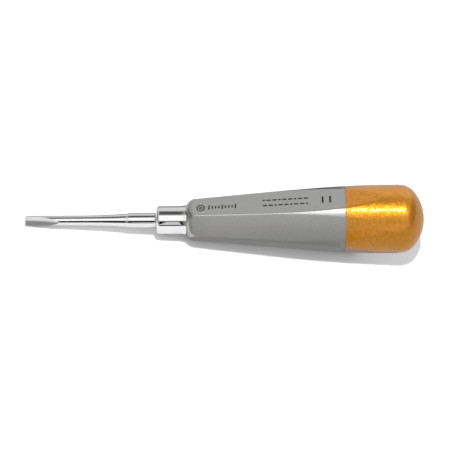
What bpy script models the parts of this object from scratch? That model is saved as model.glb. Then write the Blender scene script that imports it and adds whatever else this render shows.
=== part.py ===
"""A straight luxating dental elevator: a gouge blade on a ground shank, a polished ferrule, a hollow
hexagonal handle and a domed end cap. A nut on the shank's tang clamps shank, ferrule and handle
together, and a sleeve inside the seam carries the end cap.

Every piece is modelled upright along the instrument's axis, with Z = 0 at the blade's tip, and is
parented to one empty. The empty lays the instrument down on one flat of its handle, blade towards -X,
so that this flat lies in the plane Z = 0.
"""

import math

import bmesh
import bpy
from mathutils import Matrix

MM = 0.001
GAP = 0.3 * MM  # left between two pieces that touch

# Places along the axis, from the blade's tip
SCOOP_END = 12.0 * MM
TAPER_END = 35.8 * MM  # the ground taper meets the turned cylinder
SHOULDER = 45.7 * MM  # the shank's shoulder, which seats on the ferrule
HANDLE_FRONT = 56.8 * MM
SEAM = 112.1 * MM  # the handle shell meets the end cap
TOTAL_LENGTH = 140.0 * MM

# Blade and shank
TIP_RADIUS = 1.60 * MM
BLADE_RADIUS = 1.80 * MM
BLADE_TAPER = 5.0 * MM  # length over which the blade narrows to its tip
NECK_RADIUS = 1.765 * MM
TAPER_RADIUS = 2.42 * MM
SHANK_RADIUS = 2.625 * MM
SHANK_BREAK = 0.15 * MM
TAPER_STEP = 0.6 * MM  # length of the small step between taper and cylinder
TAPER_RUN = 2.2 * MM  # length over which the cylinder reaches its full radius
STEP_RADIUS = 2.535 * MM
SCOOP_WHEEL = 50.0 * MM  # radius of the wheel that grinds the scoop
SCOOP_RIM = 6.0 * MM  # radius of that wheel's rounded rim
SCOOP_FLOOR = 0.30 * MM  # height of the scoop's floor above the axis, at the tip
EDGE_DEPTH = 0.05 * MM  # depth of the bevelled back below the axis, at the tip
BEVEL_ANGLE = math.radians(20)  # between the bevelled back and the axis
TIP_PLAN_RADIUS = 4.0 * MM  # the cutting edge is rounded in plan

# Tang and what is clamped on it
TANG_RADIUS = 2.10 * MM
THREAD_RADIUS = 2.00 * MM  # M4
THREAD_END = 69.5 * MM
CHAMFER = 0.3 * MM
PIN_RADIUS = 0.60 * MM
PIN_PLACE = 59.9 * MM
PIN_CHAMFER = 0.15 * MM
WASHER_RADIUS = 5.20 * MM
WASHER_THICK = 0.80 * MM
LOCK_WASHER_RADIUS = 3.70 * MM
LOCK_WASHER_THICK = 0.90 * MM
LOCK_WASHER_SPLIT = 0.80 * MM
NUT_APOTHEM = 3.50 * MM
NUT_THICK = 3.20 * MM

# Ferrule
FERRULE_RADIUS = 5.06 * MM
FERRULE_FACE_RADIUS = 2.75 * MM
FERRULE_NOSE_ANGLE = math.radians(72)  # between the conical nose and the axis
FERRULE_NOSE_ROUND = 1.30 * MM
FLANGE_RADIUS = 5.32 * MM
FLANGE_RIM = 0.25 * MM
COVE_RADIUS = 15.0 * MM
SPIGOT_RADIUS = 3.90 * MM
SPIGOT_END = 61.5 * MM

# Handle
FLATS = 6
FLAT_APOTHEM = 6.505 * MM  # from the axis to a flat, at the handle's front
FLAT_TAPER = 0.081  # how fast the flats leave the axis
EDGE_BREAK = 0.12 * MM  # taken off the corners between flats
CONE_END = 85.5 * MM  # the turned body curves from here ...
CYLINDER_START = 127.0 * MM  # ... to here, where it is straight
NOSE_FACE_RADIUS = 5.45 * MM
NOSE_LENGTH = 2.5 * MM
NOSE_ROUND = 6.0 * MM
FRONT_WALL = 5.0 * MM
SHELL_WALL = 1.40 * MM

# End cap
DOME_RADIUS = 15.0 * MM
DOME_BLEND = 7.0 * MM
CAP_WALL = 1.50 * MM
CAP_LEDGE = 1.0 * MM

# Joint sleeve
SOCKET_RADIUS = 9.55 * MM  # bore of shell and cap where they take the sleeve
SOCKET_DEPTH = 6.4 * MM
SLEEVE_BORE = 7.50 * MM
LEDGE_RADIUS = 8.90 * MM

# Seals
NOSE_SEAL_CORD = 0.60 * MM
CAP_SEAL_CORD = 0.80 * MM

# Fineness
LARGE_STEPS = 60
MEDIUM_STEPS = 40
SMALL_STEPS = 28
SEAL_SIDES = 8
SHARP_ANGLE = math.radians(25)

# Worked out from the sizes above
FLATS_END = TOTAL_LENGTH + 5 * MM  # the hexagonal cutter reaches past the dome
CORNER_SHARE = 1 / math.cos(math.pi / FLATS)  # a hexagon's corner radius over its apothem
TILT = math.atan(FLAT_TAPER)
SCOOP_TURN = math.radians(64)  # which way the back of the blade faces; the scoop faces the other way
NOSE_SEAL_RADIUS = SPIGOT_RADIUS - NOSE_SEAL_CORD / 2
NOSE_SEAL_PLACE = HANDLE_FRONT + 1.0 * MM
CAP_SEAL_RADIUS = SOCKET_RADIUS - GAP - CAP_SEAL_CORD / 2
CAP_SEAL_PLACE = SEAM + SOCKET_DEPTH / 2
WASHER_PLACE = HANDLE_FRONT + FRONT_WALL + GAP
LOCK_WASHER_PLACE = WASHER_PLACE + WASHER_THICK + GAP
NUT_PLACE = LOCK_WASHER_PLACE + LOCK_WASHER_THICK + GAP
DOME_CENTRE = TOTAL_LENGTH - DOME_RADIUS

STEEL = (0.66, 0.66, 0.67)
MIRROR_STEEL = (0.70, 0.70, 0.71)
SATIN_STEEL = (0.36, 0.36, 0.36)
PLAIN_STEEL = (0.50, 0.50, 0.51)
SPRING_STEEL = (0.42, 0.42, 0.43)
GOLD_COAT = (0.72, 0.34, 0.06)
SEAL_RUBBER = (0.03, 0.03, 0.035)


def flat_apothem(height):
    """Distance from the axis to the middle of a flat."""
    return FLAT_APOTHEM + FLAT_TAPER * (height - HANDLE_FRONT)


def handle_radius(height):
    """Radius of the turned body under the flats: a cone that curves into a cylinder."""
    cone_height = min(height, CONE_END)
    cone_radius = flat_apothem(cone_height) * CORNER_SHARE - EDGE_BREAK
    run = CYLINDER_START - CONE_END
    share = min((height - cone_height) / run, 1.0)
    return cone_radius + FLAT_TAPER * CORNER_SHARE * run * (share - share**2 / 2)


def shank_radius(height):
    """Radius of the ground stretch between blade and turned cylinder."""
    share = (height - SCOOP_END) / (TAPER_END - SCOOP_END)
    return NECK_RADIUS + (TAPER_RADIUS - NECK_RADIUS) * share**3


def blade_radius(height):
    return BLADE_RADIUS - (BLADE_RADIUS - TIP_RADIUS) * (1 - height / BLADE_TAPER) ** 2


def arc(centre, radius, start, end, count):
    """Points (radius, height) on an arc, with its angles measured from the outward direction."""
    angles = [start + (end - start) * i / count for i in range(count + 1)]
    return [(centre[0] + radius * math.cos(a), centre[1] + radius * math.sin(a)) for a in angles]


def stretch(radius_at, start, end, count):
    """Points (radius, height) from one height to another."""
    heights = [start + (end - start) * i / count for i in range(count + 1)]
    return [(radius_at(height), height) for height in heights]


def new_object(name, bm):
    mesh = bpy.data.meshes.new(name)
    bm.to_mesh(mesh)
    bm.free()
    return bpy.data.objects.new(name, mesh)


def turned(name, outline, steps, bored=True):
    """An object turned about Z from (radius, height) points that run down its outer side. The outline
    of a bored piece closes on itself, and that of a solid one starts and ends on the axis."""
    count = len(outline)
    mesh = bpy.data.meshes.new(name)
    edges = [(i, (i + 1) % count) for i in range(count if bored else count - 1)]
    mesh.from_pydata([(radius, 0.0, height) for radius, height in outline], edges, [])
    obj = bpy.data.objects.new(name, mesh)
    screw = obj.modifiers.new("turn", "SCREW")
    screw.steps = steps
    screw.render_steps = steps
    screw.use_merge_vertices = True
    screw.merge_threshold = 0.01 * MM
    return obj


def prism(name, sides, low_radius, high_radius, low, high):
    """A regular prism or frustum along Z between two heights. Six sides put flats towards +X and -X."""
    bm = bmesh.new()
    bmesh.ops.create_cone(
        bm,
        cap_ends=True,
        segments=sides,
        radius1=low_radius,
        radius2=high_radius,
        depth=high - low,
        matrix=Matrix.Translation((0, 0, (low + high) / 2)),
    )
    return new_object(name, bm)


def rod(name, radius, half_length):
    return prism(name, SMALL_STEPS, radius, radius, -half_length, half_length)


def box(name, size, centre):
    bm = bmesh.new()
    bmesh.ops.create_cube(bm, size=1.0, matrix=Matrix.Translation(centre) @ Matrix.Diagonal((*size, 1)))
    return new_object(name, bm)


def cut(obj, cutter, operation="DIFFERENCE"):
    boolean = obj.modifiers.new(cutter.name, "BOOLEAN")
    boolean.operation = operation
    boolean.solver = "EXACT"
    boolean.object = cutter


class Bench:
    """The empty that lays the instrument down, and the collections that its objects go in."""

    def __init__(self):
        self.parts = bpy.data.collections.new("dental_elevator")
        self.cutters = bpy.data.collections.new("cutters")
        for collection in (self.parts, self.cutters):
            bpy.context.scene.collection.children.link(collection)
        self.axis = bpy.data.objects.new("instrument_axis", None)
        self.parts.objects.link(self.axis)
        self.axis.rotation_euler = (0, math.pi / 2 - TILT, 0)
        half_span = (DOME_CENTRE * math.cos(TILT) + DOME_RADIUS) / 2
        self.axis.location = (-half_span, 0, flat_apothem(0) * math.cos(TILT))

    def _place(self, obj, collection, location, rotation):
        collection.objects.link(obj)
        obj.parent = self.axis
        obj.location = location
        obj.rotation_euler = rotation

    def add_cutter(self, obj, location=(0, 0, 0), rotation=(0, 0, 0)):
        self._place(obj, self.cutters, location, rotation)
        obj.hide_render = True
        obj.display_type = "WIRE"
        return obj

    def add_part(self, obj, location=(0, 0, 0), rotation=(0, 0, 0)):
        self._place(obj, self.parts, location, rotation)
        return obj


def finish(obj, colour, metallic, roughness):
    """Applies the modifiers, shades the piece smooth up to its sharp edges and gives it its material."""
    graph = bpy.context.evaluated_depsgraph_get()
    mesh = bpy.data.meshes.new_from_object(obj.evaluated_get(graph))
    obj.modifiers.clear()
    obj.data = mesh
    mesh.shade_smooth()
    mesh.set_sharp_from_angle(angle=SHARP_ANGLE)

    surface = bpy.data.materials.new(obj.name)
    surface.use_nodes = True
    surface.diffuse_color = (*colour, 1.0)
    shader = surface.node_tree.nodes["Principled BSDF"]
    shader.inputs["Base Color"].default_value = (*colour, 1.0)
    shader.inputs["Metallic"].default_value = metallic
    shader.inputs["Roughness"].default_value = roughness
    mesh.materials.clear()
    mesh.materials.append(surface)


def add_flats_cutter(bench):
    """The tapering hexagon that the handle's flats are ground to."""
    low = flat_apothem(SHOULDER) * CORNER_SHARE
    high = flat_apothem(FLATS_END) * CORNER_SHARE
    return bench.add_cutter(prism("handle_flats", FLATS, low, high, SHOULDER, FLATS_END))


def add_pin_hole_cutter(bench):
    hole = rod("pin_hole", PIN_RADIUS + GAP, WASHER_RADIUS)
    return bench.add_cutter(hole, location=(0, 0, PIN_PLACE), rotation=(math.pi / 2, 0, 0))


def add_scoop_cutter(bench):
    """A grinding wheel with a rounded rim, which stands across the blade above the scoop's floor."""
    hub = SCOOP_WHEEL - SCOOP_RIM
    rim = arc((hub, 0), SCOOP_RIM, math.pi / 2, -math.pi / 2, 18)
    wheel = turned("scoop_wheel", [(0, SCOOP_RIM), *rim, (0, -SCOOP_RIM)], 4 * LARGE_STEPS, bored=False)
    reach = SCOOP_WHEEL + SCOOP_FLOOR
    centre = (-reach * math.cos(SCOOP_TURN), -reach * math.sin(SCOOP_TURN), 0)
    return bench.add_cutter(wheel, location=centre, rotation=(math.pi / 2, 0, SCOOP_TURN))


def add_tip_cutter(bench):
    """A block with a round pocket, which leaves the blade's end convex in plan."""
    width = 2 * TIP_PLAN_RADIUS
    block = box("tip_block", (width / 2, width, width), (0, 0, 0))
    pocket = prism("tip_pocket", LARGE_STEPS, TIP_PLAN_RADIUS, TIP_PLAN_RADIUS, -width, width)
    bench.add_cutter(block, rotation=(0, 0, SCOOP_TURN))
    bench.add_cutter(pocket, location=(0, 0, TIP_PLAN_RADIUS), rotation=(0, math.pi / 2, SCOOP_TURN))
    cut(block, pocket)
    return block


def add_bevel_cutter(bench):
    """A block whose slanted side thins the blade's back towards the cutting edge."""
    width = 2 * TIP_PLAN_RADIUS
    block = box("bevel_block", (width, width, 2 * width), (width / 2, 0, 0))
    place = (EDGE_DEPTH * math.cos(SCOOP_TURN), EDGE_DEPTH * math.sin(SCOOP_TURN), 0)
    return bench.add_cutter(block, location=place, rotation=(0, BEVEL_ANGLE, SCOOP_TURN))


def make_blade_shank(bench, pin_hole):
    outline = [
        (0, THREAD_END),
        (THREAD_RADIUS - CHAMFER, THREAD_END),
        (THREAD_RADIUS, THREAD_END - CHAMFER),
        (THREAD_RADIUS, SPIGOT_END),
        (TANG_RADIUS, SPIGOT_END),
        (TANG_RADIUS, SHOULDER),
        (SHANK_RADIUS - SHANK_BREAK, SHOULDER),
        (SHANK_RADIUS, SHOULDER - SHANK_BREAK),
        (SHANK_RADIUS, TAPER_END + TAPER_RUN),
        (STEP_RADIUS, TAPER_END + TAPER_STEP),
        *stretch(shank_radius, TAPER_END, SCOOP_END, 8),
        *stretch(blade_radius, BLADE_TAPER, 0, 4),
        (0, 0),
    ]
    obj = bench.add_part(turned("blade_shank", outline, MEDIUM_STEPS, bored=False))
    for cutter in (add_scoop_cutter(bench), add_bevel_cutter(bench), add_tip_cutter(bench), pin_hole):
        cut(obj, cutter)
    finish(obj, STEEL, 1.0, 0.14)


def seal_groove(seal_radius, cord, height):
    """Outline points of a seal's groove in a turned surface, from its upper lip to its lower one."""
    floor = seal_radius - cord / 2 - GAP
    lip = seal_radius + cord / 2
    half = cord / 2 + GAP
    return [(lip, height + half), (floor, height + half), (floor, height - half), (lip, height - half)]


def make_ferrule(bench, pin_hole):
    flange_face = HANDLE_FRONT - GAP
    cove_turn = math.acos(1 - (FLANGE_RADIUS - FERRULE_RADIUS) / COVE_RADIUS)
    cove_foot = flange_face - FLANGE_RIM - COVE_RADIUS * math.sin(cove_turn)
    cove = arc((FERRULE_RADIUS + COVE_RADIUS, cove_foot), COVE_RADIUS, math.pi - cove_turn, math.pi, 5)

    nose_front = SHOULDER + GAP
    round_rise = FERRULE_NOSE_ROUND * (1 - math.cos(FERRULE_NOSE_ANGLE))
    cone_rise = FERRULE_RADIUS - round_rise - FERRULE_FACE_RADIUS
    cone_end = nose_front + cone_rise / math.tan(FERRULE_NOSE_ANGLE)
    round_top = cone_end + FERRULE_NOSE_ROUND * math.sin(FERRULE_NOSE_ANGLE)
    round_centre = (FERRULE_RADIUS - FERRULE_NOSE_ROUND, round_top)
    bore = TANG_RADIUS + GAP
    outline = [
        (SPIGOT_RADIUS - CHAMFER, SPIGOT_END),
        (SPIGOT_RADIUS, SPIGOT_END - CHAMFER),
        *seal_groove(NOSE_SEAL_RADIUS, NOSE_SEAL_CORD, NOSE_SEAL_PLACE),
        (SPIGOT_RADIUS, flange_face),
        (FLANGE_RADIUS, flange_face),
        *cove,
        *arc(round_centre, FERRULE_NOSE_ROUND, 0, -FERRULE_NOSE_ANGLE, 6),
        (FERRULE_FACE_RADIUS, nose_front),
        (bore, nose_front),
        (bore, SPIGOT_END),
    ]
    obj = bench.add_part(turned("ferrule", outline, MEDIUM_STEPS))
    cut(obj, pin_hole)
    finish(obj, MIRROR_STEEL, 1.0, 0.05)


def make_ferrule_pin(bench):
    half = SPIGOT_RADIUS - PIN_CHAMFER
    outline = [
        (0, half),
        (PIN_RADIUS - PIN_CHAMFER, half),
        (PIN_RADIUS, half - PIN_CHAMFER),
        (PIN_RADIUS, PIN_CHAMFER - half),
        (PIN_RADIUS - PIN_CHAMFER, -half),
        (0, -half),
    ]
    pin = turned("ferrule_pin", outline, SMALL_STEPS, bored=False)
    bench.add_part(pin, location=(0, 0, PIN_PLACE), rotation=(math.pi / 2, 0, 0))
    finish(pin, PLAIN_STEEL, 1.0, 0.3)


def make_seal(bench, name, radius, cord, height, steps):
    section = arc((radius, 0), cord / 2, math.pi / 2, -3 * math.pi / 2, SEAL_SIDES)[:-1]
    obj = bench.add_part(turned(name, section, steps), location=(0, 0, height))
    finish(obj, SEAL_RUBBER, 0.0, 0.55)


def nose_outline():
    """The turned nose, a shallow convex arc from the handle's body down to its front face."""
    top = (handle_radius(HANDLE_FRONT + NOSE_LENGTH), HANDLE_FRONT + NOSE_LENGTH)
    foot = (NOSE_FACE_RADIUS, HANDLE_FRONT)
    slope = math.atan2(top[1] - foot[1], top[0] - foot[0])
    half_turn = math.asin(math.dist(top, foot) / 2 / NOSE_ROUND)
    back = NOSE_ROUND * math.cos(half_turn)
    middle = ((top[0] + foot[0]) / 2, (top[1] + foot[1]) / 2)
    centre = (middle[0] - back * math.sin(slope), middle[1] + back * math.cos(slope))
    facing = slope - math.pi / 2
    return arc(centre, NOSE_ROUND, facing + half_turn, facing - half_turn, 4)


def make_handle_shell(bench, flats):
    front_wall_back = HANDLE_FRONT + FRONT_WALL
    socket_foot = SEAM - SOCKET_DEPTH
    bore = SPIGOT_RADIUS + GAP
    outline = [
        *stretch(handle_radius, SEAM, CONE_END, 6),
        *nose_outline(),
        (bore, HANDLE_FRONT),
        (bore, front_wall_back),
        (WASHER_RADIUS + GAP, front_wall_back),
        (flat_apothem(NUT_PLACE) - SHELL_WALL, NUT_PLACE),
        (flat_apothem(socket_foot) - SHELL_WALL, socket_foot),
        (SOCKET_RADIUS, socket_foot),
        (SOCKET_RADIUS, SEAM),
    ]
    obj = bench.add_part(turned("handle_shell", outline, LARGE_STEPS))
    cut(obj, flats, "INTERSECT")
    finish(obj, SATIN_STEEL, 1.0, 0.42)


def make_tang_washer(bench):
    top = WASHER_PLACE + WASHER_THICK
    bore = THREAD_RADIUS + GAP
    outline = [(WASHER_RADIUS, top), (WASHER_RADIUS, WASHER_PLACE), (bore, WASHER_PLACE), (bore, top)]
    obj = bench.add_part(turned("tang_washer", outline, SMALL_STEPS))
    finish(obj, PLAIN_STEEL, 1.0, 0.25)


def make_lock_washer(bench):
    radius = LOCK_WASHER_RADIUS
    low = LOCK_WASHER_PLACE
    top = low + LOCK_WASHER_THICK
    bore = THREAD_RADIUS + GAP
    outline = [(radius, top), (radius, low), (bore, low), (bore, top)]
    obj = bench.add_part(turned("lock_washer", outline, SMALL_STEPS))
    split_size = (2 * radius, LOCK_WASHER_SPLIT, 3 * LOCK_WASHER_THICK)
    cut(obj, bench.add_cutter(box("washer_split", split_size, (-radius, 0, (low + top) / 2))))
    finish(obj, SPRING_STEEL, 1.0, 0.3)


def make_tang_nut(bench):
    low = NUT_PLACE
    top = low + NUT_THICK
    corner = NUT_APOTHEM * CORNER_SHARE
    bore = THREAD_RADIUS + GAP
    outline = [
        (corner - CHAMFER, top),
        (corner, top - CHAMFER),
        (corner, low + CHAMFER),
        (corner - CHAMFER, low),
        (bore, low),
        (bore, top),
    ]
    obj = bench.add_part(turned("tang_nut", outline, SMALL_STEPS))
    hexagon = prism("nut_flats", FLATS, corner, corner, low - GAP, top + GAP)
    cut(obj, bench.add_cutter(hexagon), "INTERSECT")
    finish(obj, PLAIN_STEEL, 1.0, 0.25)


def make_joint_sleeve(bench):
    low = SEAM - SOCKET_DEPTH + GAP
    top = SEAM + SOCKET_DEPTH - GAP
    radius = SOCKET_RADIUS - GAP
    outline = [
        (radius - CHAMFER, top),
        (radius, top - CHAMFER),
        *seal_groove(CAP_SEAL_RADIUS, CAP_SEAL_CORD, CAP_SEAL_PLACE),
        (radius, low + CHAMFER),
        (radius - CHAMFER, low),
        (SLEEVE_BORE, low),
        (SLEEVE_BORE, top),
    ]
    obj = bench.add_part(turned("joint_sleeve", outline, MEDIUM_STEPS))
    finish(obj, PLAIN_STEEL, 1.0, 0.3)


def blend_of(side, dome_radius):
    """Height and angle at which a side's corner rounding of DOME_BLEND runs into a dome."""
    reach = dome_radius - DOME_BLEND
    rise = math.sqrt(reach**2 - (side - DOME_BLEND) ** 2)
    return DOME_CENTRE + rise, math.atan2(rise, side - DOME_BLEND)


def make_end_cap(bench, flats):
    side = handle_radius(CYLINDER_START)
    blend_height, blend_angle = blend_of(side, DOME_RADIUS)
    cavity = side - CAP_WALL
    cavity_dome = DOME_RADIUS - CAP_WALL
    cavity_height, cavity_angle = blend_of(cavity, cavity_dome)
    front = SEAM + GAP
    ledge = SEAM + SOCKET_DEPTH
    outline = [
        *arc((0, DOME_CENTRE), DOME_RADIUS, math.pi / 2, blend_angle, 7),
        *arc((side - DOME_BLEND, blend_height), DOME_BLEND, blend_angle, 0, 4)[1:],
        *stretch(handle_radius, CYLINDER_START, front, 6),
        (SOCKET_RADIUS, front),
        (SOCKET_RADIUS, ledge),
        (LEDGE_RADIUS, ledge),
        (LEDGE_RADIUS, ledge + CAP_LEDGE),
        (cavity, ledge + 2 * CAP_LEDGE),
        *arc((cavity - DOME_BLEND, cavity_height), DOME_BLEND, 0, cavity_angle, 3),
        *arc((0, DOME_CENTRE), cavity_dome, cavity_angle, math.pi / 2, 5)[1:],
    ]
    obj = bench.add_part(turned("end_cap", outline, LARGE_STEPS, bored=False))
    cut(obj, flats, "INTERSECT")
    finish(obj, GOLD_COAT, 1.0, 0.34)


def main():
    for obj in list(bpy.data.objects):
        bpy.data.objects.remove(obj)
    bench = Bench()
    flats = add_flats_cutter(bench)
    pin_hole = add_pin_hole_cutter(bench)
    make_blade_shank(bench, pin_hole)
    make_ferrule(bench, pin_hole)
    make_ferrule_pin(bench)
    make_seal(bench, "nose_seal", NOSE_SEAL_RADIUS, NOSE_SEAL_CORD, NOSE_SEAL_PLACE, SMALL_STEPS)
    make_handle_shell(bench, flats)
    make_tang_washer(bench)
    make_lock_washer(bench)
    make_tang_nut(bench)
    make_joint_sleeve(bench)
    make_seal(bench, "cap_seal", CAP_SEAL_RADIUS, CAP_SEAL_CORD, CAP_SEAL_PLACE, MEDIUM_STEPS)
    make_end_cap(bench, flats)


main()
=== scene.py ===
"""The looks of a straight dental elevator lying on one flat of its handle: a polished gouge blade and
shank, a mirror-polished ferrule, a satin steel hexagonal handle and a sparkling gold-coated end cap.

The visible pieces are modelled finely along the instrument's own axis, local +Z, with Z = 0 at the
blade's tip, and are then laid down where the CAD frame has them.
"""

import math

import bmesh
import bpy
from mathutils import Matrix, Vector


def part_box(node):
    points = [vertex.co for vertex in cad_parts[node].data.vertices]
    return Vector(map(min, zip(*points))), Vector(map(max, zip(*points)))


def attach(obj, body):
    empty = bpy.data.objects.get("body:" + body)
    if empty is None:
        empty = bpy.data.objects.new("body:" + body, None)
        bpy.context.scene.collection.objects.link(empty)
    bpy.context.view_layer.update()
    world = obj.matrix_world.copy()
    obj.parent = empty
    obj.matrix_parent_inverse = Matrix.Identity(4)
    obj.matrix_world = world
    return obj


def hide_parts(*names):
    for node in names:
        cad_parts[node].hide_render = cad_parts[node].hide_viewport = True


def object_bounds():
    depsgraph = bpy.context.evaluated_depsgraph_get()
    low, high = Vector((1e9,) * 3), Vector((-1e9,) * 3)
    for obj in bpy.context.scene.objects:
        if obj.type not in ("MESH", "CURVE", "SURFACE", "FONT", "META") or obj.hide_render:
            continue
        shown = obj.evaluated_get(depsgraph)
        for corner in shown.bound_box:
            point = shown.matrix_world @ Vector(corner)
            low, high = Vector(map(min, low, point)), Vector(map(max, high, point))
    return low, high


MM = 0.001

# Places along the axis, from the blade's tip
SCOOP_END = 12.0 * MM
TAPER_END = 35.8 * MM
SHOULDER = 45.7 * MM
HANDLE_FRONT = 56.8 * MM
SPIGOT_END = 61.5 * MM
THREAD_END = 69.5 * MM
CONE_END = 85.5 * MM
SEAM = 112.1 * MM
CYLINDER_START = 127.0 * MM
TOTAL_LENGTH = 140.0 * MM

# Blade and shank
TIP_RADIUS = 1.60 * MM
BLADE_RADIUS = 1.80 * MM
BLADE_TAPER = 5.0 * MM
NECK_RADIUS = 1.765 * MM
TAPER_RADIUS = 2.42 * MM
STEP_RADIUS = 2.535 * MM
SHANK_RADIUS = 2.625 * MM
STEP_FOOT = 0.45 * MM  # from the taper's end to the small step's lip
STEP_LIP = 0.02 * MM  # height of that lip
STEP_WIDTH = 0.20 * MM
STEP_SWELL = 0.07 * MM  # rise of the round that follows the lip
STEP_SWELL_RUN = 1.9 * MM
CYLINDER_RUN = 3.0 * MM  # from the taper's end to the plain cylinder
SHANK_CHAMFER = 0.12 * MM
SHANK_BREAK = 0.10 * MM
TANG_RADIUS = 2.10 * MM
THREAD_RADIUS = 2.00 * MM
THREAD_CHAMFER = 0.30 * MM
SCOOP_WHEEL = 50.0 * MM  # radius of the wheel that grinds the scoop
SCOOP_RIM = 6.0 * MM  # radius of that wheel's rounded rim
SCOOP_FLOOR = 0.30 * MM  # height of the scoop's floor above the axis, at the tip
SCOOP_TURN = math.radians(244)  # direction that the scoop faces, round the axis from the resting flat
EDGE_DEPTH = 0.05 * MM  # depth of the bevelled back below the axis, at the tip
BEVEL_ANGLE = math.radians(20)  # between the bevelled back and the axis
TIP_PLAN_RADIUS = 4.0 * MM  # the cutting edge is rounded in plan

# Points of the blade's mesh: across the scoop, round the back, and along. The rows crowd at the
# scoop's run-out. Past it the scoop's columns fan out from a narrow opening to a wide one.
SCOOP_COLUMNS = 28
BACK_COLUMNS = 48
SCOOP_ROWS = 44
SCOOP_ROW_CROWDING = 1.7
TAPER_ROWS = 30
RUN_OUT_GAP = 0.15 * MM
LEAST_HALF_OPENING = math.radians(3)
WIDEST_HALF_OPENING = math.radians(50)
OPENING_RUN = 9.0 * MM

# Ferrule
FERRULE_RADIUS = 5.06 * MM
FERRULE_FACE_RADIUS = 2.66 * MM
FERRULE_NOSE_ANGLE = math.radians(72)
FERRULE_NOSE_ROUND = 1.30 * MM
FLANGE_RADIUS = 5.32 * MM
FLANGE_RIM = 0.25 * MM
FLANGE_BREAK = 0.06 * MM
FLANGE_GAP = 0.04 * MM  # to the handle's front face
COVE_RADIUS = 15.0 * MM
SPIGOT_RADIUS = 3.90 * MM
SPIGOT_CHAMFER = 0.30 * MM
SPIGOT_CLEARANCE = 0.10 * MM
SHOULDER_GAP = 0.03 * MM  # to the shank's shoulder
TANG_CLEARANCE = 0.05 * MM
FERRULE_COLUMNS = 192

# Handle and end cap
FLATS = 6
FLAT_APOTHEM = 6.505 * MM
FLAT_TAPER = 0.081
EDGE_BREAK = 0.12 * MM
EDGE_SOFTNESS = 0.03 * MM
NOSE_FACE_RADIUS = 5.45 * MM
NOSE_LENGTH = 2.5 * MM
NOSE_ROUND = 6.0 * MM
NOSE_RIM = 0.20 * MM
FRONT_WALL = 5.0 * MM
SHELL_WALL = 1.40 * MM
WASHER_SEAT = 5.5 * MM  # radius of the room for the washers and the nut, behind the front wall
WASHER_ROOM = 2.9 * MM  # length of that room
DOME_RADIUS = 15.0 * MM
DOME_BLEND = 7.0 * MM
CAP_WALL = 1.50 * MM
SOCKET_RADIUS = 9.55 * MM
SOCKET_DEPTH = 6.4 * MM
SEAM_GAP = 0.05 * MM
SEAM_BREAK = 0.08 * MM

TILT = math.atan(FLAT_TAPER)
SECTOR = 2 * math.pi / FLATS
CORNER_SHARE = 1 / math.cos(SECTOR / 2)
DOME_CENTRE = TOTAL_LENGTH - DOME_RADIUS

# Points round the handle, as shares of half a flat and of half the turned land beside it
FACET_SHARES = (0.0, 0.3, 0.55, 0.75, 0.88, 0.94, 0.97, 0.988, 1.0)
LAND_SHARES = (0.12, 0.3, 0.55, 0.8)
LEAST_FACET = math.radians(4)
HANDLE_COLUMNS = 2 * FLATS * (len(FACET_SHARES) + len(LAND_SHARES))
SHARP_EDGE = math.radians(30)

# Etched marks. Their places are along the axis and across the flat.
MARKED_FLAT = math.pi  # the upper flat, opposite the one that the handle rests on
MARK_DEPTH = 0.04 * MM
MARK_RISE = -0.01 * MM
RING_ALONG = 61.8 * MM
RING_ACROSS = 0.6 * MM
RING_COLUMNS = 36
RINGS = [(1.50 * MM, 0.42 * MM), (0.62 * MM, 0.40 * MM)]  # outer radius and line width
TICKS = 9
TICK_START = 2.9 * MM  # from the ring's centre
TICK_PITCH = 1.15 * MM
TICK_WIDTH = 0.5 * MM
LONG_TICK = 1.9 * MM
SHORT_TICK = 1.2 * MM
TICKS_PER_LONG_ONE = 4
DASHES = 9
DASH_ALONG = 83.4 * MM
DASH_ROWS = (-1.2 * MM, 1.2 * MM)
LONG_DASH = 1.5 * MM
SHORT_DASH = 0.8 * MM
DASHES_PER_SHORT_ONE = 3
DASH_WIDTH = 0.62 * MM
DASH_GAP = 0.55 * MM
BARS = 2
BARS_ALONG = 104.2 * MM
BAR_PITCH = 2.6 * MM
BAR_WIDTH = 0.7 * MM
BAR_LENGTH = 3.0 * MM

# Gold coat
FLAKES_PER_METRE = 4200
FLAKE_TILT = 0.155
LACQUER_SHARE = 0.32  # how much of a flake's tilt shows in the lacquer over it

# Light tent. Its brightness is listed by the angle in degrees from the front horizon, over the top,
# to the back one. Towards both ends of the elevator it blends into panels and then the dim room. A
# blend starts and stops at a value of the direction's X, which is 1 straight along the elevator.
TENT = [
    (0, 0.02),
    (36, 0.0),
    (40, 0.6),
    (46, 1.35),
    (82, 1.35),
    (88, 0.6),
    (93, 0.2),
    (104, 0.1),
    (117, 0.1),
    (124, 0.5),
    (131, 0.8),
    (152, 0.88),
    (166, 0.7),
    (180, 0.72),
]
TENT_TOP = 1.6
PANEL = 0.85
PANEL_BLEND = (0.2, 0.6)
ROOM = 0.3
ROOM_BLEND = (0.55, 0.9)
BACKDROP = 1.0

# Floor, lights and cards
FLOOR_HALF = 3.0
FLOOR_LEVEL = -0.02 * MM
LIGHT_DISTANCE = 1.0
CARD_REACH = 0.35
OVERHEAD_CARD_DISTANCE = 0.3

# Camera
CAMERA_RISE = math.radians(49)  # above the plane through the axis that is level across it
CAMERA_ROLL = math.radians(0.30)
CAMERA_DISTANCE = 0.8
CAMERA_LENS = 182.4
CAMERA_SENSOR = 36
AIM_ALONG = 70.25 * MM
AIM_BELOW = 1.85 * MM


# ---------------------------------------------------------------- shapes


def flat_apothem(height):
    return FLAT_APOTHEM + FLAT_TAPER * (height - HANDLE_FRONT)


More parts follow.
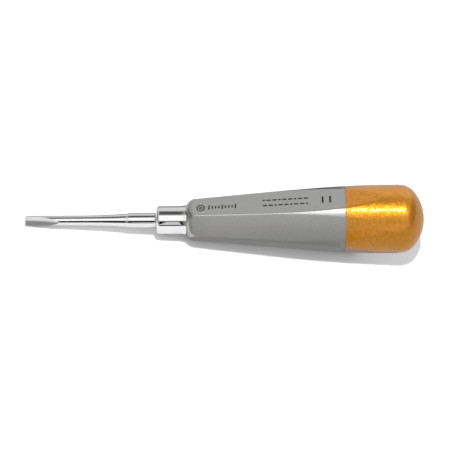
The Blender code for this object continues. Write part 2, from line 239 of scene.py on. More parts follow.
def handle_radius(height):
    """Radius of the turned body under the flats: a cone that curves into a cylinder."""
    cone_height = min(height, CONE_END)
    cone_radius = flat_apothem(cone_height) * CORNER_SHARE - EDGE_BREAK
    run = CYLINDER_START - CONE_END
    share = min((height - cone_height) / run, 1.0)
    return cone_radius + FLAT_TAPER * CORNER_SHARE * run * (share - share**2 / 2)


def arc(centre, radius, start, end, count):
    angles = [start + (end - start) * i / count for i in range(count + 1)]
    return [(centre[0] + radius * math.cos(a), centre[1] + radius * math.sin(a)) for a in angles]


def line(start, end, count):
    """Points from start to end, both included."""
    return [
        tuple(a + (b - a) * i / count for a, b in zip(start, end, strict=True)) for i in range(count + 1)
    ]


def stretch(radius_at, start, end, count):
    return [(radius_at(z), z) for (z,) in line((start,), (end,), count)]


def smooth_least(a, b, softness):
    """The lesser of two lengths, with the corner between them rounded over about the softness."""
    low, gap = min(a, b), abs(a - b)
    return low - softness * math.log1p(math.exp(-gap / softness))


def loft(name, rows, closed):
    """A mesh through rows of points that each run once round the axis. A row of one point is a pole.
    A closed loft joins its last row to its first."""
    starts, points = [], []
    for row in rows:
        starts.append(len(points))
        points += row
    faces = []
    for i in range(len(rows) if closed else len(rows) - 1):
        j = (i + 1) % len(rows)
        count = max(len(rows[i]), len(rows[j]))
        for k in range(count):
            corners = []
            for r, c in ((i, k), (i, k + 1), (j, k + 1), (j, k)):
                index = starts[r] + c % len(rows[r])
                if index not in corners:
                    corners.append(index)
            faces.append(corners)
    mesh = bpy.data.meshes.new(name)
    mesh.from_pydata(points, [], faces)
    mesh.shade_smooth()
    return bpy.data.objects.new(name, mesh)


def circle(radius, height, count):
    if radius == 0:
        return [(0, 0, height)]
    step = 2 * math.pi / count
    return [(radius * math.cos(i * step), radius * math.sin(i * step), height) for i in range(count)]


def handle_row(radius, height):
    """One row round the handle, where the flats cut into the turned radius. The row's points crowd at
    the edges between each flat and the turned land beside it."""
    apothem = flat_apothem(height)
    half_facet = max(LEAST_FACET, math.acos(min(1.0, apothem / radius)))
    half_land = SECTOR / 2 - half_facet
    facet = [half_facet * share for share in FACET_SHARES]
    land = [half_facet + half_land * share for share in LAND_SHARES]
    side = facet[1:] + land
    offsets = [-SECTOR / 2] + [-a for a in reversed(side)] + [0.0] + side
    row = []
    for k in range(FLATS):
        for offset in offsets:
            reach = smooth_least(radius, apothem / math.cos(offset), EDGE_SOFTNESS)
            angle = k * SECTOR + offset
            row.append((reach * math.cos(angle), reach * math.sin(angle), height))
    return row


def handle_ring(radius, height):
    return circle(radius, height, HANDLE_COLUMNS)


def nose_outline():
    """The turned nose, a shallow convex arc from the handle's body down to its front face."""
    top = (handle_radius(HANDLE_FRONT + NOSE_LENGTH), HANDLE_FRONT + NOSE_LENGTH)
    foot = (NOSE_FACE_RADIUS, HANDLE_FRONT)
    slope = math.atan2(top[1] - foot[1], top[0] - foot[0])
    half_turn = math.asin(math.dist(top, foot) / 2 / NOSE_ROUND)
    back = NOSE_ROUND * math.cos(half_turn)
    middle = ((top[0] + foot[0]) / 2, (top[1] + foot[1]) / 2)
    centre = (middle[0] - back * math.sin(slope), middle[1] + back * math.cos(slope))
    facing = slope - math.pi / 2
    return arc(centre, NOSE_ROUND, facing + half_turn, facing - half_turn, 16)


def handle_shell():
    rear = SEAM - SEAM_GAP / 2
    socket_foot = SEAM - SOCKET_DEPTH
    wall_back = HANDLE_FRONT + FRONT_WALL
    seat_end = wall_back + WASHER_ROOM
    bore = SPIGOT_RADIUS + SPIGOT_CLEARANCE
    outer = [(handle_radius(rear) - SEAM_BREAK, rear), (handle_radius(rear), rear - SEAM_BREAK)]
    outer += stretch(handle_radius, rear - 3 * SEAM_BREAK, CONE_END, 26)
    outer += stretch(handle_radius, CONE_END, HANDLE_FRONT + NOSE_LENGTH, 16)[1:]
    outer += nose_outline()[1:]
    inner = line((NOSE_FACE_RADIUS - NOSE_RIM, HANDLE_FRONT), (bore, HANDLE_FRONT), 2)
    inner += [(bore, wall_back), (WASHER_SEAT, wall_back)]
    room_start = (flat_apothem(seat_end) - SHELL_WALL, seat_end)
    room_end = (flat_apothem(socket_foot) - SHELL_WALL, socket_foot)
    inner += line(room_start, room_end, 4)
    inner += [(SOCKET_RADIUS, socket_foot), (SOCKET_RADIUS, rear)]
    rows = [handle_row(*p) for p in outer] + [handle_ring(*p) for p in inner]
    return loft("handle_shell_fine", rows, closed=True)


def blend_of(side, dome_radius):
    """Height and angle at which a side's corner rounding of DOME_BLEND runs into a dome."""
    reach = dome_radius - DOME_BLEND
    rise = math.sqrt(reach**2 - (side - DOME_BLEND) ** 2)
    return DOME_CENTRE + rise, math.atan2(rise, side - DOME_BLEND)


def end_cap():
    front = SEAM + SEAM_GAP / 2
    side = handle_radius(CYLINDER_START)
    blend_height, blend_angle = blend_of(side, DOME_RADIUS)
    cavity = side - CAP_WALL
    cavity_dome = DOME_RADIUS - CAP_WALL
    cavity_height, cavity_angle = blend_of(cavity, cavity_dome)
    outer = arc((0, DOME_CENTRE), DOME_RADIUS, math.pi / 2, blend_angle, 26)[1:]
    outer += arc((side - DOME_BLEND, blend_height), DOME_BLEND, blend_angle, 0, 12)[1:]
    outer += stretch(handle_radius, blend_height - 0.3 * MM, CYLINDER_START, 4)
    outer += stretch(handle_radius, CYLINDER_START, front + 3 * SEAM_BREAK, 24)[1:]
    outer += [(handle_radius(front), front + SEAM_BREAK), (handle_radius(front) - SEAM_BREAK, front)]
    inner = [(SOCKET_RADIUS, front), (SOCKET_RADIUS, SEAM + SOCKET_DEPTH)]
    inner += line((cavity, SEAM + SOCKET_DEPTH + MM), (cavity, cavity_height), 3)
    inner += arc((cavity - DOME_BLEND, cavity_height), DOME_BLEND, 0, cavity_angle, 5)[1:]
    inner += arc((0, DOME_CENTRE), cavity_dome, cavity_angle, math.pi / 2, 8)[1:-1]
    rows = [[(0, 0, TOTAL_LENGTH)]] + [handle_row(*p) for p in outer]
    rows += [handle_ring(*p) for p in inner] + [[(0, 0, DOME_CENTRE + cavity_dome)]]
    return loft("end_cap_fine", rows, closed=False)


def ferrule():
    flange_face = HANDLE_FRONT - FLANGE_GAP
    cove_turn = math.acos(1 - (FLANGE_RADIUS - FERRULE_RADIUS) / COVE_RADIUS)
    cove_foot = flange_face - FLANGE_RIM - COVE_RADIUS * math.sin(cove_turn)
    cove = arc((FERRULE_RADIUS + COVE_RADIUS, cove_foot), COVE_RADIUS, math.pi - cove_turn, math.pi, 14)

    nose_front = SHOULDER + SHOULDER_GAP
    round_rise = FERRULE_NOSE_ROUND * (1 - math.cos(FERRULE_NOSE_ANGLE))
    cone_rise = FERRULE_RADIUS - round_rise - FERRULE_FACE_RADIUS
    cone_end = nose_front + cone_rise / math.tan(FERRULE_NOSE_ANGLE)
    round_top = cone_end + FERRULE_NOSE_ROUND * math.sin(FERRULE_NOSE_ANGLE)
    round_centre = (FERRULE_RADIUS - FERRULE_NOSE_ROUND, round_top)
    nose = arc(round_centre, FERRULE_NOSE_ROUND, 0, -FERRULE_NOSE_ANGLE, 18)
    bore = TANG_RADIUS + TANG_CLEARANCE

    outline = [(SPIGOT_RADIUS - SPIGOT_CHAMFER, SPIGOT_END), (SPIGOT_RADIUS, SPIGOT_END - SPIGOT_CHAMFER)]
    outline += [(SPIGOT_RADIUS, flange_face), (FLANGE_RADIUS - FLANGE_BREAK, flange_face)]
    outline += [(FLANGE_RADIUS, flange_face - FLANGE_BREAK), *cove]
    outline += line(cove[-1], nose[0], 16)[1:]
    outline += nose[1:]
    outline += line(nose[-1], (FERRULE_FACE_RADIUS, nose_front), 5)[1:]
    outline += [(bore, nose_front), (bore, SPIGOT_END)]
    return loft("ferrule_fine", [circle(r, z, FERRULE_COLUMNS) for r, z in outline], closed=True)


def scoop_height(across, along):
    """How high above the axis the scoop's surface is, at a distance across and along the blade."""
    hub = SCOOP_WHEEL - SCOOP_RIM
    reach = hub + math.sqrt(max(0.0, SCOOP_RIM**2 - across**2))
    return SCOOP_WHEEL + SCOOP_FLOOR - math.sqrt(reach**2 - along**2)


def rim_half_width(radius, along):
    """Half the scoop's width at its rim, where its surface meets the blade's round back. It is 0
    where the scoop has run out."""
    if scoop_height(0, along) >= radius:
        return 0.0
    low, high = 0.0, min(radius, SCOOP_RIM) * 0.9999
    for _ in range(40):
        middle = (low + high) / 2
        inside = math.hypot(middle, scoop_height(middle, along)) < radius
        low, high = (middle, high) if inside else (low, middle)
    return low


def blade_outline_radius(height):
    if height < BLADE_TAPER:
        return BLADE_RADIUS - (BLADE_RADIUS - TIP_RADIUS) * (1 - height / BLADE_TAPER) ** 2
    if height < SCOOP_END:
        share = (height - BLADE_TAPER) / (SCOOP_END - BLADE_TAPER)
        return BLADE_RADIUS + (NECK_RADIUS - BLADE_RADIUS) * share**2 * (3 - 2 * share)
    share = (height - SCOOP_END) / (TAPER_END - SCOOP_END)
    return NECK_RADIUS + (TAPER_RADIUS - NECK_RADIUS) * share**3


def blade_row(height):
    """One row round the blade or the shank behind it: first across the scoop, then round the back."""
    radius = blade_outline_radius(height)
    half_width = rim_half_width(radius, height) if height < SCOOP_END else 0.0
    if half_width > 0:
        half_opening = math.atan2(half_width, scoop_height(half_width, height))
        half_opening = max(half_opening, LEAST_HALF_OPENING)
    else:
        share = min(1.0, (height - SCOOP_END) / OPENING_RUN)
        half_opening = LEAST_HALF_OPENING + (WIDEST_HALF_OPENING - LEAST_HALF_OPENING) * share
    steps = [math.sin(math.pi * (i / SCOOP_COLUMNS - 0.5)) for i in range(SCOOP_COLUMNS + 1)]
    scoop = []
    for step in steps:
        if half_width > 0:
            across = half_width * step
            surface = math.sqrt(radius**2 - across**2)
            scoop.append((min(scoop_height(across, height), surface), across))
        else:
            angle = half_opening * step
            scoop.append((radius * math.cos(angle), radius * math.sin(angle)))
    back = []
    for i in range(1, BACK_COLUMNS):
        angle = half_opening + 2 * (math.pi - half_opening) * i / BACK_COLUMNS
        back.append((radius * math.cos(angle), radius * math.sin(angle)))
    plan_fade = max(0.0, 1 - height / SCOOP_END)
    turn = Matrix.Rotation(SCOOP_TURN, 3, "Z")
    row = []
    for up, across in scoop + back:
        plan = TIP_PLAN_RADIUS - math.sqrt(TIP_PLAN_RADIUS**2 - across**2)
        along = height + plan * plan_fade
        up = max(up, -EDGE_DEPTH - along * math.tan(BEVEL_ANGLE))
        row.append(tuple(turn @ Vector((up, across, along))))
    return row


def blade_heights():
    """Where the rows of the blade and its taper lie along the axis."""
    shares = [1 - (1 - i / SCOOP_ROWS) ** SCOOP_ROW_CROWDING for i in range(SCOOP_ROWS)]
    taper_start = SCOOP_END + RUN_OUT_GAP
    taper = [taper_start + (TAPER_END - taper_start) * i / TAPER_ROWS for i in range(TAPER_ROWS + 1)]
    return [SCOOP_END * share for share in shares] + taper


def shank_outline():
    """The turned part, from the small step at the taper's end to the end of the thread."""
    lip = TAPER_END + STEP_FOOT + STEP_WIDTH
    swell_shares = (0.2, 0.4, 0.6, 0.8, 1.0)
    swell = [
        (STEP_RADIUS + STEP_LIP + STEP_SWELL * math.sin(math.pi / 2 * s), lip + STEP_SWELL_RUN * s)
        for s in swell_shares
    ]
    return [
        (STEP_RADIUS, TAPER_END + STEP_FOOT),
        (STEP_RADIUS + STEP_LIP, lip),
        *swell,
        *line((SHANK_RADIUS, TAPER_END + CYLINDER_RUN), (SHANK_RADIUS, SHOULDER - SHANK_CHAMFER), 8),
        (SHANK_RADIUS - SHANK_BREAK, SHOULDER),
        (TANG_RADIUS, SHOULDER),
        (TANG_RADIUS, SPIGOT_END),
        (THREAD_RADIUS, SPIGOT_END),
        (THREAD_RADIUS, THREAD_END - THREAD_CHAMFER),
        (THREAD_RADIUS - THREAD_CHAMFER, THREAD_END),
    ]


def blade_shank():
    """The blade and the shank as one loft. The scoop's faces take the second material."""
    heights = blade_heights()
    rows = [blade_row(z) for z in heights]
    count = len(rows[0])
    angles = [math.atan2(y, x) for x, y, _ in rows[-1]]
    rows += [[(r * math.cos(a), r * math.sin(a), z) for a in angles] for r, z in shank_outline()]
    rows.append([(0, 0, THREAD_END)])
    obj = loft("blade_shank_fine", rows, closed=False)
    scoop_rows = sum(rim_half_width(blade_outline_radius(z), z) > 0 for z in heights if z < SCOOP_END)
    for row in range(scoop_rows - 1):
        for column in range(SCOOP_COLUMNS):
            obj.data.polygons[row * count + column].material_index = 1
    close_cutting_edge(obj, count)
    return obj


def close_cutting_edge(obj, count):
    """Closes the blade's end between the scoop's side of its first row and the back's."""
    bm = bmesh.new()
    bm.from_mesh(obj.data)
    bm.verts.ensure_lookup_table()
    end = bm.faces.new(bm.verts[:count])
    bmesh.ops.triangulate(bm, faces=[end], ngon_method="EAR_CLIP")
    bm.to_mesh(obj.data)
    bm.free()


def settle(obj, materials, node=None):
    """Turns the faces out, marks the sharp edges and puts the piece where the CAD node is."""
    bm = bmesh.new()
    bm.from_mesh(obj.data)
    bmesh.ops.recalc_face_normals(bm, faces=bm.faces)
    bm.to_mesh(obj.data)
    bm.free()
    obj.data.transform(lay_down)
    obj.data.shade_smooth()
    obj.data.set_sharp_from_angle(angle=SHARP_EDGE)
    for material in materials:
        obj.data.materials.append(material)
    bpy.context.scene.collection.objects.link(obj)
    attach(obj, "root")
    if node:
        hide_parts(node)


def etched_marks():
    """Plain marks on the handle's upper flat: a ring and a row of ticks at the front, two rows of dashes
    further back and two bars at the rear. They are one piece, a hair proud of the flat."""
    bm = bmesh.new()
    flat = Matrix.Rotation(MARKED_FLAT, 4, "Z")
    lean = Matrix.Rotation(TILT, 4, "Y")

    def place(along, across):
        apothem = flat_apothem(along) + MARK_RISE
        return flat @ Matrix.Translation((apothem, across, along)) @ lean

    def bar(along, across, length, width):
        made = bmesh.ops.create_cube(bm, size=1.0)["verts"]
        shape = Matrix.Diagonal((MARK_DEPTH, width, length, 1.0))
        bmesh.ops.transform(bm, matrix=place(along, across) @ shape, verts=made)

    def ring(along, across, radius, width):
        loops = []
        for reach, depth in ((radius, 0), (radius - width, 0), (radius - width, 1), (radius, 1)):
            for i in range(RING_COLUMNS):
                turn = 2 * math.pi * i / RING_COLUMNS
                spot = Vector(((0.5 - depth) * MARK_DEPTH, reach * math.cos(turn), reach * math.sin(turn)))
                loops.append(bm.verts.new(place(along, across) @ spot))
        for i in range(4):
            near, far = i * RING_COLUMNS, (i + 1) % 4 * RING_COLUMNS
            for k in range(RING_COLUMNS):
                after = (k + 1) % RING_COLUMNS
                bm.faces.new([loops[near + k], loops[near + after], loops[far + after], loops[far + k]])

    for radius, width in RINGS:
        ring(RING_ALONG, RING_ACROSS, radius, width)
    for i in range(TICKS):
        tall = SHORT_TICK if i % TICKS_PER_LONG_ONE else LONG_TICK
        bar(RING_ALONG + TICK_START + TICK_PITCH * i, RING_ACROSS, TICK_WIDTH, tall)
    for row, across in enumerate(DASH_ROWS):
        along = DASH_ALONG
        for i in range(DASHES):
            length = LONG_DASH if (i + row) % DASHES_PER_SHORT_ONE else SHORT_DASH
            bar(along + length / 2, across, length, DASH_WIDTH)
            along += length + DASH_GAP
    for i in range(BARS):
        bar(BARS_ALONG + BAR_PITCH * i, 0.0, BAR_WIDTH, BAR_LENGTH)
    mesh = bpy.data.meshes.new("etched_marks")
    bm.to_mesh(mesh)
    bm.free()
    return bpy.data.objects.new("etched_marks", mesh)


# ---------------------------------------------------------------- materials


def add_node(tree, kind, inputs=None, **settings):
    """A shader node. Each input is a value, or a socket that it is linked from."""
    made = tree.nodes.new("ShaderNode" + kind)
    for key, value in settings.items():
        setattr(made, key, value)
    for key, value in (inputs or {}).items():
        if isinstance(value, bpy.types.NodeSocket):
            tree.links.new(value, made.inputs[key])
        else:
            made.inputs[key].default_value = value
    return made


def add_ramp(tree, fac, stops):
    made = add_node(tree, "ValToRGB", {"Fac": fac})
    elements = made.color_ramp.elements
    while len(elements) < len(stops):
        elements.new(0.5)
    for element, (position, colour) in zip(elements, stops, strict=True):
        element.position = position
        element.color = (*colour, 1)
    return made.outputs["Color"]


class Look:
    """A material with a Principled shader, and short calls to add nodes to it. Its textures follow the
    instrument's own axes."""

    def __init__(self, name, colour, metallic, roughness):
        self.material = bpy.data.materials.new(name)
        self.material.use_nodes = True
        self.tree = self.material.node_tree
        self.shader = self.tree.nodes["Principled BSDF"]
        self.shader.inputs["Base Color"].default_value = (*colour, 1)
        self.shader.inputs["Metallic"].default_value = metallic
        self.shader.inputs["Roughness"].default_value = roughness
        world = self.node("TexCoord").outputs["Object"]
        along_axis = {"Vector": world, "Location": tip, "Rotation": (0, math.pi / 2 - TILT, 0)}
        self.place = self.node("Mapping", along_axis, vector_type="TEXTURE").outputs[0]

    def node(self, kind, inputs=None, **settings):
        return add_node(self.tree, kind, inputs, **settings)

    def noise(self, scale, detail=2.0, stretch_by=(1, 1, 1)):
        mapped = self.node("Mapping", {"Vector": self.place, "Scale": stretch_by})
        noise = self.node("TexNoise", {"Vector": mapped.outputs[0], "Scale": scale, "Detail": detail})
        return noise.outputs["Fac"]

    def ramp(self, fac, stops):
        return add_ramp(self.tree, fac, stops)

    def between(self, fac, low, high):
        return self.node("MapRange", {"Value": fac, "To Min": low, "To Max": high}).outputs["Result"]

    def bump(self, height, strength, distance):
        made = self.node("Bump", {"Height": height, "Strength": strength, "Distance": distance})
        return made.outputs["Normal"]

    def vector(self, operation, first, second=(0, 0, 0)):
        return self.node("VectorMath", {0: first, 1: second}, operation=operation).outputs[0]

    def drive(self, socket, source):
        self.tree.links.new(source, self.shader.inputs[socket])


def satin_steel():
    """Bead-blasted steel with a fine grain. The turned nose's colour is darkened a little, as painted
    shade.
    """
    look = Look("satin_steel", (0.5, 0.5, 0.5), 1.0, 0.32)
    grain = look.noise(2600, 3)
    cloud = look.noise(140, 3)
    low, high = (0.43, 0.427, 0.420), (0.55, 0.547, 0.540)
    tone = look.ramp(look.between(grain, 0.0, 1.0), [(0.25, low), (0.75, high)])
    along = look.node("SeparateXYZ", {0: look.place}).outputs["Z"]
    # painted shade: the base colour drops to 0.78 on the turned nose and fades out over 1.2 mm onto the
    # body
    nose_end = HANDLE_FRONT + NOSE_LENGTH
    reach = {"Value": along, "From Min": nose_end - 1.2 * MM, "From Max": nose_end}
    on_body = look.node("MapRange", reach, interpolation_type="SMOOTHSTEP").outputs[0]
    painted_nose_shade = look.ramp(on_body, [(0.0, (0.78, 0.78, 0.78)), (1.0, (1, 1, 1))])
    mixed = look.node("Mix", {0: 1.0, 6: tone, 7: painted_nose_shade}, data_type="RGBA", blend_type="MULTIPLY")
    look.drive("Base Color", mixed.outputs[2])
    look.drive("Roughness", look.between(cloud, 0.30, 0.34))
    look.drive("Normal", look.bump(grain, 0.3, 0.02 * MM))
    return look.material


def mirror_steel():
    look = Look("mirror_steel", (0.74, 0.74, 0.745), 1.0, 0.04)
    turning = look.noise(900, 2, (0.15, 0.15, 3))
    look.drive("Roughness", look.between(turning, 0.025, 0.06))
    look.drive("Normal", look.bump(turning, 0.05, 0.002 * MM))
    return look.material


def polished_steel():
    look = Look("polished_steel", (0.72, 0.72, 0.725), 1.0, 0.1)
    grinding = look.noise(1500, 3, (0.3, 0.3, 2.5))
    look.drive("Roughness", look.between(grinding, 0.07, 0.15))
    look.drive("Normal", look.bump(grinding, 0.1, 0.004 * MM))
    return look.material


def ground_steel():
    look = Look("ground_steel", (0.62, 0.62, 0.62), 1.0, 0.16)
    grinding = look.noise(1800, 3, (2.2, 2.2, 0.25))
    look.drive("Roughness", look.between(grinding, 0.12, 0.22))
    look.drive("Normal", look.bump(grinding, 0.12, 0.004 * MM))
    return look.material


def gold_coat():
    """A metal-flake coat under clear lacquer: each flake is tilted its own way, so that it sparkles."""
    look = Look("gold_coat", (0.75, 0.36, 0.07), 1.0, 0.32)
    look.shader.inputs["Coat Weight"].default_value = 1.0
    look.shader.inputs["Coat Roughness"].default_value = 0.1
    flakes = look.node("TexVoronoi", {"Vector": look.place, "Scale": FLAKES_PER_METRE}).outputs["Color"]
    cloud = look.noise(200, 2)
    low, high = (0.67, 0.222, 0.006), (0.94, 0.41, 0.016)
    fleck = look.node("SeparateColor", {0: flakes}).outputs[0]
    look.drive("Base Color", look.ramp(fleck, [(0.0, low), (1.0, high)]))
    look.drive("Roughness", look.between(cloud, 0.31, 0.35))
    centred = look.vector("SUBTRACT", flakes, (0.5, 0.5, 0.5))
    outward = look.node("NewGeometry").outputs["Normal"]
    for socket, tilt in (("Normal", FLAKE_TILT), ("Coat Normal", FLAKE_TILT * LACQUER_SHARE)):
        tilted = look.vector("MULTIPLY", centred, (tilt,) * 3)
        look.drive(socket, look.vector("NORMALIZE", look.vector("ADD", outward, tilted)))
    return look.material


def etched_dark():
    look = Look("etched_dark", (0.02, 0.02, 0.022), 0.3, 0.6)
    look.drive("Roughness", look.between(look.noise(6000, 2), 0.5, 0.75))
    return look.material


def plain_steel():
    look = Look("plain_steel", (0.45, 0.45, 0.46), 1.0, 0.3)
    turning = look.noise(1200, 3)
    look.drive("Roughness", look.between(turning, 0.22, 0.4))
    return look.material


def seal_rubber():
    look = Look("seal_rubber", (0.02, 0.02, 0.022), 0.0, 0.55)
    look.drive("Roughness", look.between(look.noise(2500, 2), 0.45, 0.65))
    return look.material


def floor_paper():
    look = Look("floor_paper", (0.96, 0.96, 0.96), 0.0, 0.9)
    look.shader.inputs["Specular IOR Level"].default_value = 0.0
    return look.material


# ---------------------------------------------------------------- studio


def studio_world():
    """A light tent whose brightness changes from the front horizon over the top to the back one. The
    dark stretches are its openings, and show as lines in the polished steel."""
    world = bpy.data.worlds.new("light_tent")
    bpy.context.scene.world = world
    world.use_nodes = True
    tree = world.node_tree

    def math_node(operation, first, second=0.0):
        return add_node(tree, "Math", {0: first, 1: second}, operation=operation).outputs[0]

    def grey(brightness):
        return (brightness / TENT_TOP,) * 3

    direction = add_node(tree, "TexCoord").outputs["Generated"]
    parts = add_node(tree, "SeparateXYZ", {0: direction}).outputs
    angle = math_node("ARCTAN2", parts["Z"], math_node("MULTIPLY", parts["Y"], -1.0))
    stops = [(degrees / 180, grey(brightness)) for degrees, brightness in TENT]
    tent = add_ramp(tree, math_node("DIVIDE", angle, math.pi), stops)
    side = math_node("ABSOLUTE", parts["X"])

    def beyond(start, end):
        limits = {"Value": side, "From Min": start, "From Max": end}
        return add_node(tree, "MapRange", limits, interpolation_type="SMOOTHSTEP").outputs[0]

    def blend(share, first, brightness):
        colours = {0: share, 6: first, 7: (*grey(brightness), 1)}
        return add_node(tree, "Mix", colours, data_type="RGBA").outputs[2]

    picture = blend(beyond(*PANEL_BLEND), tent, PANEL)
    picture = blend(beyond(*ROOM_BLEND), picture, ROOM)
    picture = blend(add_node(tree, "LightPath").outputs["Is Camera Ray"], picture, BACKDROP)
    background = tree.nodes["Background"]
    tree.links.new(picture, background.inputs["Color"])
    background.inputs["Strength"].default_value = TENT_TOP


def add_light(name, angle, along, across, radiance, shift=0.0):
    """A softbox over the elevator, at an angle above the front horizon and shifted along it."""
    light = bpy.data.lights.new(name, "AREA")
    light.shape = "RECTANGLE"
    light.size = along
    light.size_y = across
    light.energy = radiance * math.pi * along * across
    lamp = bpy.data.objects.new(name, light)
    lamp.location = middle + Vector((shift, -math.cos(angle), math.sin(angle))) * LIGHT_DISTANCE
    lamp.rotation_euler.x = math.pi / 2 - angle
    lamp.visible_camera = False
    bpy.context.scene.collection.objects.link(lamp)
    return lamp


def add_floor():
    half = FLOOR_HALF
    corners = [(-half, -half, 0), (half, -half, 0), (half, half, 0), (-half, half, 0)]
    mesh = bpy.data.meshes.new("floor")
    mesh.from_pydata(corners, [], [(0, 1, 2, 3)])
    floor = bpy.data.objects.new("floor", mesh)
    floor.location.z = FLOOR_LEVEL
    mesh.materials.append(floor_paper())
    bpy.context.scene.collection.objects.link(floor)


def glowing(name, strength):
    look = Look(name, (0.0, 0.0, 0.0), 0.0, 1.0)
    look.shader.inputs["Specular IOR Level"].default_value = 0.0
    look.shader.inputs["Emission Color"].default_value = (1, 1, 1, 1)
    look.shader.inputs["Emission Strength"].default_value = strength
    return look.material


def add_card(name, corners, strength):
    """A card that only the shiny surfaces see, as a darker or brighter stretch in what they reflect."""
    mesh = bpy.data.meshes.new(name)
    mesh.from_pydata(corners, [], [(0, 1, 2, 3)])
    mesh.materials.append(glowing(name, strength))
    card = bpy.data.objects.new(name, mesh)
    card.visible_camera = False
    card.visible_diffuse = False
    card.visible_shadow = False
    bpy.context.scene.collection.objects.link(card)


def add_upright_card(name, place, left, right, strength):
    """A card square to Y, at a place along it. Each end is its X, its lowest point and its highest."""
    (start, start_low, start_high), (stop, stop_low, stop_high) = left, right
    corners = [(start, start_low), (stop, stop_low), (stop, stop_high), (start, start_high)]
    add_card(name, [(x, place, z) for x, z in corners], strength)


def add_overhead_card(name, start, stop, low_angle, high_angle, strength):
    """A card along the elevator, between two angles in degrees above the front horizon."""
    near, far = (
        Vector((0, -math.cos(angle), math.sin(angle))) * OVERHEAD_CARD_DISTANCE
        for angle in (math.radians(low_angle), math.radians(high_angle))
    )
    left, right = Vector((start, 0, 0)), Vector((stop, 0, 0))
    add_card(name, [near + left, near + right, far + right, far + left], strength)


def add_shade_card(name, left, right, front, back, level, strength):
    """A card a hair above the floor that glows dimmer than it: painted shade on the floor, seen only in
    reflections.
    """
    corners = [(left, front), (right, front), (right, back), (left, back)]
    add_card(name, [(x, y, level) for x, y in corners], strength)


def add_cards():
    # dark rims along the tops of the shank, the ferrule and the handle
    left, right = (handle_start - CARD_REACH, 0, 0.014), (handle_start, 0, 0.014)
    add_upright_card("rear_flag", place=0.05, left=left, right=right, strength=0.08)
    left, right = (handle_start, 0, 0.019), (seam_place, 0, 0.029)
    add_upright_card("handle_flag", place=0.05, left=left, right=right, strength=0.08)
    # a bright line that splits the dark one along the ferrule
    left, right = (handle_start - 0.062, 0.058, 0.085), (handle_start - 0.012, 0.058, 0.085)
    add_upright_card("ferrule_card", place=-0.3, left=left, right=right, strength=1.2)
    # a glow on the upper part of the handle's front flat
    left, right = (handle_start - 0.012, 0.0165, 0.046), (cap_rear + 0.02, 0.031, 0.06)
    add_upright_card("glow_card", place=-0.06, left=left, right=right, strength=0.74)
    # a dim card that fills the dark gap between that glow and the floor, beside the cap
    left, right = (seam_place, 0, 0.04), (cap_rear + 0.05, 0, 0.04)
    add_upright_card("horizon_card", place=-0.065, left=left, right=right, strength=0.5)
    # a dim card beside the blade, for the darker lower half of the scoop
    left, right = (tip.x - 0.4, 0, 0.05), (tip.x + 0.002, 0, 0.05)
    add_upright_card("scoop_card", place=-0.07, left=left, right=right, strength=0.38)
    # a grey card over the rear, so that the glow under the highlight fades
    add_overhead_card("fade_card", start=-0.03, stop=0.25, low_angle=42, high_angle=70, strength=0.6)
    # another over the cap, where the tent's opening would show as a dark band above the highlight
    start = seam_place - 0.01
    add_overhead_card("crown_card", start, stop=0.3, low_angle=92, high_angle=122, strength=0.45)
    # dim glowing cards under the cap and the handle, a painted shade on the floor, which keep their
    # lower faces darker than the floor in reflection, with a darker painted contact shadow beside the seam
    cap_shade_area = {"left": seam_place, "right": 0.3, "front": -CARD_REACH, "back": CARD_REACH}
    add_shade_card("cap_shade_card", **cap_shade_area, level=-0.005 * MM, strength=0.56)
    patch = {"left": seam_place, "right": seam_place + 0.02, "front": -0.010, "back": 0.004}
    add_shade_card("contact_shade_card", **patch, level=-0.003 * MM, strength=0.3)
    far_right = handle_start + CARD_REACH
    handle_shade_area = {"left": handle_start, "right": far_right, "front": -CARD_REACH, "back": CARD_REACH}
    add_shade_card("handle_shade_card", **handle_shade_area, level=-0.01 * MM, strength=0.36)


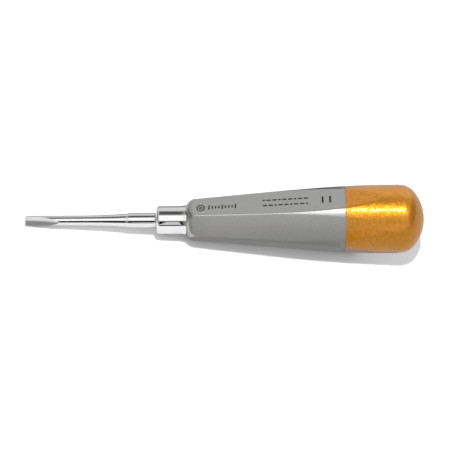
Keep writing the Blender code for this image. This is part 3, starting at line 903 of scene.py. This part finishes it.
def add_camera():
    """A camera square on to the elevator's axis, so that the blade points left."""
    along = lay_down.to_3x3() @ Vector((0, 0, 1))
    over = lay_down.to_3x3() @ Vector((-1, 0, 0))
    back = (over * math.sin(CAMERA_RISE) - Vector((0, 1, 0)) * math.cos(CAMERA_RISE)).normalized()
    up = back.cross(along)
    turn = Matrix.Rotation(-CAMERA_ROLL, 3, back)
    right, up = turn @ along, turn @ up
    camera = bpy.data.objects.new("camera", bpy.data.cameras.new("camera"))
    aim = lay_down @ Vector((0, 0, AIM_ALONG)) - up * AIM_BELOW
    axes = Matrix((right, up, back)).transposed().to_4x4()
    camera.matrix_world = Matrix.Translation(aim + back * CAMERA_DISTANCE) @ axes
    camera.data.lens = CAMERA_LENS
    camera.data.sensor_width = CAMERA_SENSOR
    bpy.context.scene.collection.objects.link(camera)
    bpy.context.scene.camera = camera


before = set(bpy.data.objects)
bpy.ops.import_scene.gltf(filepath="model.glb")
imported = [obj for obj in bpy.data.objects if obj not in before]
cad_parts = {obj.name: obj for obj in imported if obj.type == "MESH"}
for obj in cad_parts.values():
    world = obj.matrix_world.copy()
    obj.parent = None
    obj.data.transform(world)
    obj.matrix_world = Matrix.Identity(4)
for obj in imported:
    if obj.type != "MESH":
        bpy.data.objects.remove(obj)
cad_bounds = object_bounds()

cap_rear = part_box("end_cap")[1].x
tip = Vector((cap_rear - DOME_CENTRE * math.cos(TILT) - DOME_RADIUS, 0, flat_apothem(0) * math.cos(TILT)))
lay_down = Matrix.Translation(tip) @ Matrix.Rotation(math.pi / 2 - TILT, 4, "Y")
middle = (cad_bounds[0] + cad_bounds[1]) / 2
handle_start = (lay_down @ Vector((0, 0, HANDLE_FRONT))).x
seam_place = (lay_down @ Vector((0, 0, SEAM))).x

settle(blade_shank(), [polished_steel(), ground_steel()], "blade_shank")
settle(ferrule(), [mirror_steel()], "ferrule")
settle(handle_shell(), [satin_steel()], "handle_shell")
settle(end_cap(), [gold_coat()], "end_cap")
settle(etched_marks(), [etched_dark()])
# the cap throws no orange light on the floor: the photograph's shadow is neutral
bpy.data.objects["end_cap_fine"].visible_diffuse = False

hidden_looks = {"steel": plain_steel(), "rubber": seal_rubber()}
for name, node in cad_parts.items():
    if not node.hide_render:
        look = hidden_looks["rubber" if name.endswith("_seal") else "steel"]
        node.data.materials.clear()
        node.data.materials.append(look)

studio_world()
add_floor()
add_cards()
strip = add_light("strip", math.radians(79.6), along=0.6, across=0.028, radiance=62, shift=0.25)
strip.visible_diffuse = False
overhead = add_light("overhead", math.radians(84), along=0.05, across=0.05, radiance=720)
overhead.visible_glossy = False
add_camera()
bpy.context.scene.view_settings.view_transform = "Standard"
